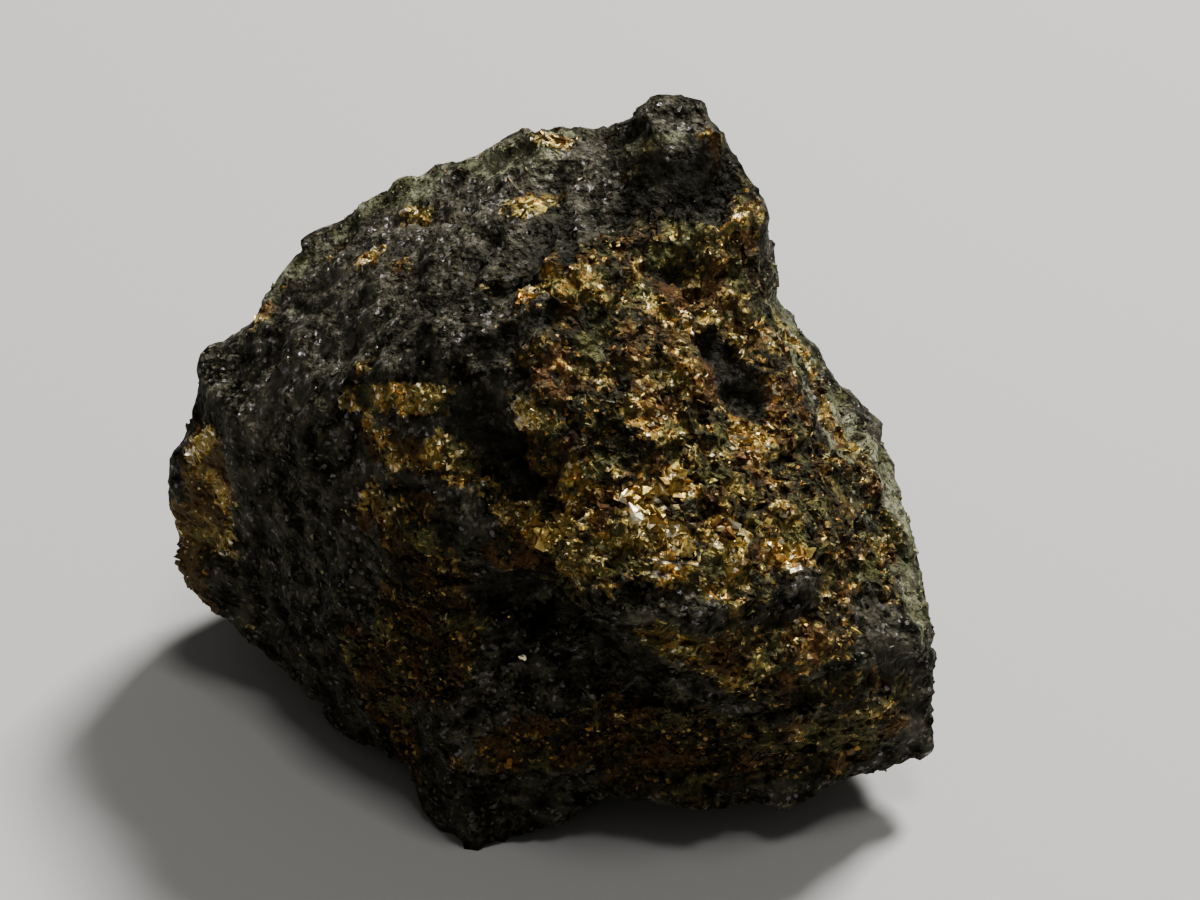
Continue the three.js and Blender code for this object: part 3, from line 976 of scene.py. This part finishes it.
# ---- operators ----
FLOOR_CORNERS = ((-3, -3, 0), (3, -3, 0), (3, 3, 0), (-3, 3, 0))  # metres
FLOOR_ROUGHNESS = 0.85
AIM = (57, 50, 48)  # the place that the camera and the lights point at
LIGHT_DISTANCE = 1.4  # metres
KEY_LIGHT = ((0.38, 0.52, 0.80), 0.30)  # direction, and size in metres
TOP_LIGHT = ((0.15, -0.12, 1.0), 0.34)
FILL_COLOUR, FILL_STRENGTH = (0.8, 0.8, 0.8), 0.13
CLIP_START = 0.01  # metres
_skin = {}


def stone_skin():
    """The stone's skin, which the body makes and the grains use."""
    if not _skin:
        raise RuntimeError("make the stone body first")
    return _skin["skin"]


class STONE_OT_body(bpy.types.Operator):
    """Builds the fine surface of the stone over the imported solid"""

    bl_idname = "stone.body"
    bl_label = "Stone body"

    def execute(self, context):
        settings = context.scene.stone_body
        random = np.random.default_rng(PART_SEED["body"])
        skin = Skin()
        broad, _ = chips(skin.points, *BROAD_CHIPS, random)
        middle, flake_tone = chips(skin.points, *MIDDLE_CHIPS, random)
        small, _ = chips(skin.points, settings.flake, *SMALL_CHIPS, random)
        kinds = skin.kinds(skin.points, flake_tone)
        cut = skin.cover(GROOVE_STROKES, skin.points) * (1 + ripple(skin.points, "groove"))
        rise = self.relief(settings, skin, (broad, middle, small), kinds, cut, random)
        # Painted shade: a dark colour laid along the grooves, in the shaded gaps and in hollows
        # below their surroundings, weaker on the pyrite.
        low = np.maximum(GROOVE_SHADE * np.clip(cut, 0, 1), kinds["shaded_gap"])
        kinds["hollow"] = ease(-(rise - BROAD_LEFT_OUT * broad), *SHADE_DEPTHS)
        kinds["hollow"] = np.maximum(kinds["hollow"], low)
        kinds["hollow"] *= 1 - PYRITE_CLEARS * kinds["pyrite"] * (1 - kinds["shaded_gap"])
        skin.points = skin.points + skin.normals * rise[:, None]
        skin.points[:, 2] = np.maximum(skin.points[:, 2], 0)
        skin.kinds_at = kinds
        _skin["skin"] = skin
        smooth = skin.mean_kinds()["pyrite"] < SMOOTH_BELOW
        piece = mesh_object("stone_body", skin.points, skin.triangles, kinds, smooth)
        place_piece(piece, body_material(settings, context.scene.stone_pyrite))
        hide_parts(NODE)
        return {"FINISHED"}

    @staticmethod
    def relief(settings, skin, flakes, kinds, cut, random):
        """How far each point of the skin rises or sinks, in mm."""
        points, pyrite = skin.points, kinds["pyrite"]
        broad, middle, small = flakes
        level = (points[:, 2] + LEDGE_SLOPE * points[:, 0]) / settings.ledge
        level = level + ripple(points, "ledge")
        shelf = (level % 1 - 0.5) * LEDGE_STEP * skin.cover(LEDGE_STROKES, points)
        groove = 0
        for strokes, run, depth, length, width, place in FURROWS:
            rows = furrows(points, run, length, width, place)
            groove = groove + depth * rows * skin.cover(strokes, points)
        fine = settings.relief * (ripple(points, "relief") + ripple(points, "fine relief"))
        grit = random.normal(size=len(points)) * (settings.grit + settings.facet * pyrite)
        rise = broad + middle * at_least(MIDDLE_LEAST, pyrite)
        rise = rise + fine * without(PYRITE_SMOOTHS, pyrite) + small * at_least(SMALL_LEAST, pyrite)
        rise += shelf + groove + grit - GROOVE_DEPTH * cut - BARE_DEPTH * kinds["shaded_gap"]
        rise = MOST_RISE * np.tanh(rise / MOST_RISE)
        rise[points[:, 2] < FOOT_LEVEL] = 0
        return rise


class STONE_OT_pyrite(bpy.types.Operator):
    """Sets the pyrite grains into the broken face and the flecks"""

    bl_idname = "stone.pyrite"
    bl_label = "Pyrite grains"

    def execute(self, context):
        settings = context.scene.stone_pyrite
        random = np.random.default_rng(PART_SEED["gold"])
        skin = stone_skin()
        at = skin.mean_kinds()
        fresh, crust = at["fresh"], at["crust"]
        cluster = ripple(skin.points[skin.triangles].mean(axis=1), "cluster")
        cluster = np.maximum(ease(cluster, *CLUSTER_FROM), ease(fresh, *FRESH_CLUSTER))
        chance = at["pyrite"] ** EDGE_THINNING * (DULL_CHANCE + fresh)
        chance = chance * without(HOLLOW_THINNING, at["hollow"]) * at_least(CLUSTER_LEAST, cluster)
        chance += CRUST_CHANCE * crust + RIND_CHANCE * at["rind"] + STRAY_CHANCE
        growth = 1 + FRESH_GROWTH * ease(fresh, *GROWTH_FROM)

        def tone(places, chosen):
            bright = TONE_LUCK * luck(random, len(places), "bright")
            bright = TONE_LEAST + TONE_FRESH * fresh[chosen] + bright
            return np.clip(bright + TONE_CRUST * crust[chosen], 0, 1)

        def polish(places, chosen):
            smooth = luck(random, len(places), "polish") * at_least(POLISH_LEAST, fresh[chosen])
            return np.clip(smooth * without(POLISH_CRUST, crust[chosen]), 0, 1)

        piece = grains_on("pyrite_grains", chance, settings, random, tone, polish, growth)
        place_piece(piece, gold_material(settings))
        return {"FINISHED"}


def dark_grains(name, chance, settings, seed):
    """Grains whose colour runs between two shades."""
    random = np.random.default_rng(seed)
    finish, shade_darkening, metallic, roughness = SHADES[name]
    hollow = stone_skin().mean_kinds()["hollow"]

    def tone(places, chosen):
        pale = luck(random, len(places), name) + ripple(places, name)
        # the painted shade of the hollows darkens these grains too
        return np.clip(pale * without(shade_darkening, hollow[chosen]), 0, 1)

    piece = grains_on(name, chance, settings, random, tone)
    place_piece(piece, crumb_material(finish, settings, metallic, roughness))


class STONE_OT_magnetite(bpy.types.Operator):
    """Sets fine magnetite grains over the dark parts of the stone"""

    bl_idname = "stone.magnetite"
    bl_label = "Magnetite grains"

    def execute(self, context):
        at = stone_skin().mean_kinds()
        chance = 1
        for kind, share in KEEPS_OFF.items():
            chance = chance * without(share, at[kind])
        settings = context.scene.stone_magnetite
        dark_grains("magnetite_grains", chance, settings, PART_SEED["dark"])
        return {"FINISHED"}


class STONE_OT_rind(bpy.types.Operator):
    """Scatters weathered crumbs over the rim, the right flank and the back"""

    bl_idname = "stone.rind"
    bl_label = "Weathered crumbs"

    def execute(self, context):
        chance = stone_skin().mean_kinds()["rind"] + CRUMB_CHANCE
        settings = context.scene.stone_rind
        dark_grains("weathered_crumbs", chance, settings, PART_SEED["rind"])
        return {"FINISHED"}


class STONE_OT_studio(bpy.types.Operator):
    """Lays the floor and sets up the lights and the camera"""

    bl_idname = "stone.studio"
    bl_label = "Studio"

    def execute(self, context):
        settings = context.scene.stone_studio
        mesh = bpy.data.meshes.new("floor")
        mesh.from_pydata(FLOOR_CORNERS, [], [(0, 1, 2, 3)])
        plain = {"Base Color": opaque(settings.floor), "Roughness": FLOOR_ROUGHNESS}
        mesh.materials.append(new_material("floor", plain)[0])
        add_object("floor", mesh)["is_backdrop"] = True

        aim = Vector(spot(*AIM)) * MM
        soft_light("key light", *KEY_LIGHT, settings.key, aim)
        soft_light("top light", *TOP_LIGHT, settings.top, aim)
        context.scene.world = studio_world(settings)

        camera = bpy.data.cameras.new("camera")
        camera.lens = settings.lens
        camera.clip_start = CLIP_START
        toward = Vector((0, -math.cos(settings.elevation), math.sin(settings.elevation)))
        context.scene.camera = aim_object("camera", camera, aim, toward, settings.distance)
        context.scene.view_settings.look = "AgX - Medium High Contrast"
        return {"FINISHED"}


def aim_object(name, data, aim, toward, distance):
    """A light or a camera that looks at a point from a direction."""
    thing = add_object(name, data)
    thing.location = aim + toward * distance
    thing.rotation_euler = toward.to_track_quat("Z", "Y").to_euler()
    return thing


def soft_light(name, direction, size, power, aim):
    """A square soft light that shines on the stone."""
    light = bpy.data.lights.new(name, "AREA")
    light.size = size
    light.energy = power
    aim_object(name, light, aim, Vector(direction).normalized(), LIGHT_DISTANCE)


def studio_world(settings):
    """Dim light from all round, with a plain backdrop that only the camera sees."""
    world = bpy.data.worlds.new("studio")
    world.use_nodes = True
    tree = world.node_tree
    fill = tree.nodes["Background"]
    feed(tree, fill, {"Color": opaque(FILL_COLOUR), "Strength": FILL_STRENGTH})
    backdrop = add_node(tree, "ShaderNodeBackground", {"Color": opaque(settings.backdrop)})
    seen = add_node(tree, "ShaderNodeLightPath").outputs["Is Camera Ray"]
    either = add_node(tree, "ShaderNodeMixShader", {
        0: seen, 1: fill.outputs[0], 2: backdrop.outputs[0]})
    feed(tree, tree.nodes["World Output"], {"Surface": either.outputs[0]})
    return world


OPERATORS = (STONE_OT_body, STONE_OT_pyrite, STONE_OT_magnetite, STONE_OT_rind, STONE_OT_studio)
SETTINGS = {
    "stone_body": StoneBodySettings,
    "stone_pyrite": PyriteSettings,
    "stone_magnetite": MagnetiteSettings,
    "stone_rind": RindSettings,
    "stone_studio": StudioSettings,
}


class STONE_PT_panel(bpy.types.Panel):
    """Lists the pieces of the stone and their settings"""

    bl_label = "Pyrite with magnetite"
    bl_idname = "STONE_PT_panel"
    bl_space_type = "VIEW_3D"
    bl_region_type = "UI"
    bl_category = "Stone"

    def draw(self, context):
        for operator, name in zip(OPERATORS, SETTINGS):
            box = self.layout.box()
            settings = getattr(context.scene, name)
            for key in settings.__annotations__:
                box.prop(settings, key)
            box.operator(operator.bl_idname)


def register():
    for cls in (*SETTINGS.values(), *OPERATORS, STONE_PT_panel):
        bpy.utils.register_class(cls)
    for name, cls in SETTINGS.items():
        setattr(bpy.types.Scene, name, PointerProperty(type=cls))


def unregister():
    for name in SETTINGS:
        delattr(bpy.types.Scene, name)
    for cls in reversed((*SETTINGS.values(), *OPERATORS, STONE_PT_panel)):
        bpy.utils.unregister_class(cls)


def main():
    register()
    bpy.ops.stone.body()
    bpy.ops.stone.pyrite()
    bpy.ops.stone.magnetite()
    bpy.ops.stone.rind()
    bpy.ops.stone.studio()
    boxes = {"loaded": LOADED_BOX, "finished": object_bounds()}
    {key: [list(corner) for corner in box] for key, box in boxes.items()}


if __name__ == "__main__":
    main()
